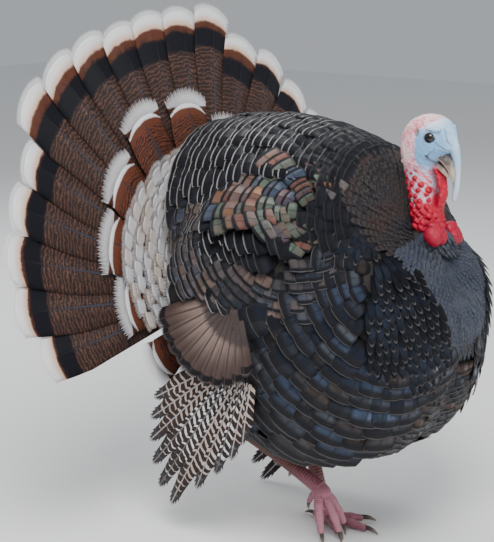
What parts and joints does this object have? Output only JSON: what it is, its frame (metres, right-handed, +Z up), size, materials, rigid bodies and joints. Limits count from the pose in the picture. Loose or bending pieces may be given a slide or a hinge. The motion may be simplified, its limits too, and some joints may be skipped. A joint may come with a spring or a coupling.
{
  "type": "strutting wild turkey",
  "caption": "Adult tom wild turkey in full strut, mid-stride, tail fanned and wings lowered, as a still life-size model standing on its left foot.",
  "frame": {"origin": "centre of the standing (left) foot's pad, on the floor", "axes": "+X the bird's heading, +Y its left side, +Z up; y = 0 is the body's middle plane"},
  "size_m": [0.5644, 0.841, 0.7672],
  "materials": {
    "plumage": "glossy black contour feathers with thin pale rims and a bronze to steel-blue sheen",
    "breast_plumage": "blue-grey to black breast feathers with a soft sheen",
    "tail_feathers": "dark brown vanes with fine rufous bars, a blue-black band and a white tip",
    "tail_coverts": "chestnut coverts with fine dark bars and white tips",
    "wing_plumage": "satin brown and bronze wing feathers",
    "primaries": "dark flight feathers with white bars and pale shafts",
    "face_skin": "bare pale blue skin with a white crown",
    "neck_skin": "bare bluish white skin with red nodules",
    "caruncles": "moist crimson skin",
    "bill": "horn, grey-brown with a pale tip",
    "eye": "wet, dark brown with a black pupil",
    "leg_scales": "brown-red scutes",
    "foot_scales": "pink scutes",
    "claw": "dark horn"
  },
  "bodies": {
    "root": {"trunk": "plumage", "thigh_right": "plumage", "tail_coverts_lower": "plumage", "breast": "breast_plumage", "tail_feather_01": "tail_feathers", "tail_feather_02": "tail_feathers", "tail_feather_03": "tail_feathers", "tail_feather_04": "tail_feathers", "tail_feather_05": "tail_feathers", "tail_feather_06": "tail_feathers", "tail_feather_07": "tail_feathers", "tail_feather_08": "tail_feathers", "tail_feather_09": "tail_feathers", "tail_feather_10": "tail_feathers", "tail_feather_11": "tail_feathers", "tail_feather_12": "tail_feathers", "tail_feather_13": "tail_feathers", "tail_feather_14": "tail_feathers", "tail_feather_15": "tail_feathers", "tail_feather_16": "tail_feathers", "tail_feather_17": "tail_feathers", "tail_feather_18": "tail_feathers", "tail_coverts_upper": "tail_coverts", "tail_root": "tail_coverts", "wing_left": "wing_plumage", "wing_right": "wing_plumage", "secondaries_left": "wing_plumage", "secondaries_right": "wing_plumage", "primaries_left": "primaries", "primaries_right": "primaries", "head": "face_skin", "snood": "face_skin", "neck": "neck_skin", "wattle": "caruncles", "caruncle_left": "caruncles", "caruncle_right": "caruncles", "bill_upper": "bill", "bill_lower": "bill", "eye_left": "eye", "eye_right": "eye", "tarsus_left": "leg_scales", "tarsus_right": "leg_scales", "foot_left": "foot_scales", "foot_right": "foot_scales", "claw_middle_left": "claw", "claw_inner_left": "claw", "claw_outer_left": "claw", "claw_hind_left": "claw", "claw_middle_right": "claw", "claw_inner_right": "claw", "claw_outer_right": "claw", "claw_hind_right": "claw", "spur_left": "claw", "spur_right": "claw"}
  },
  "joints": []
}
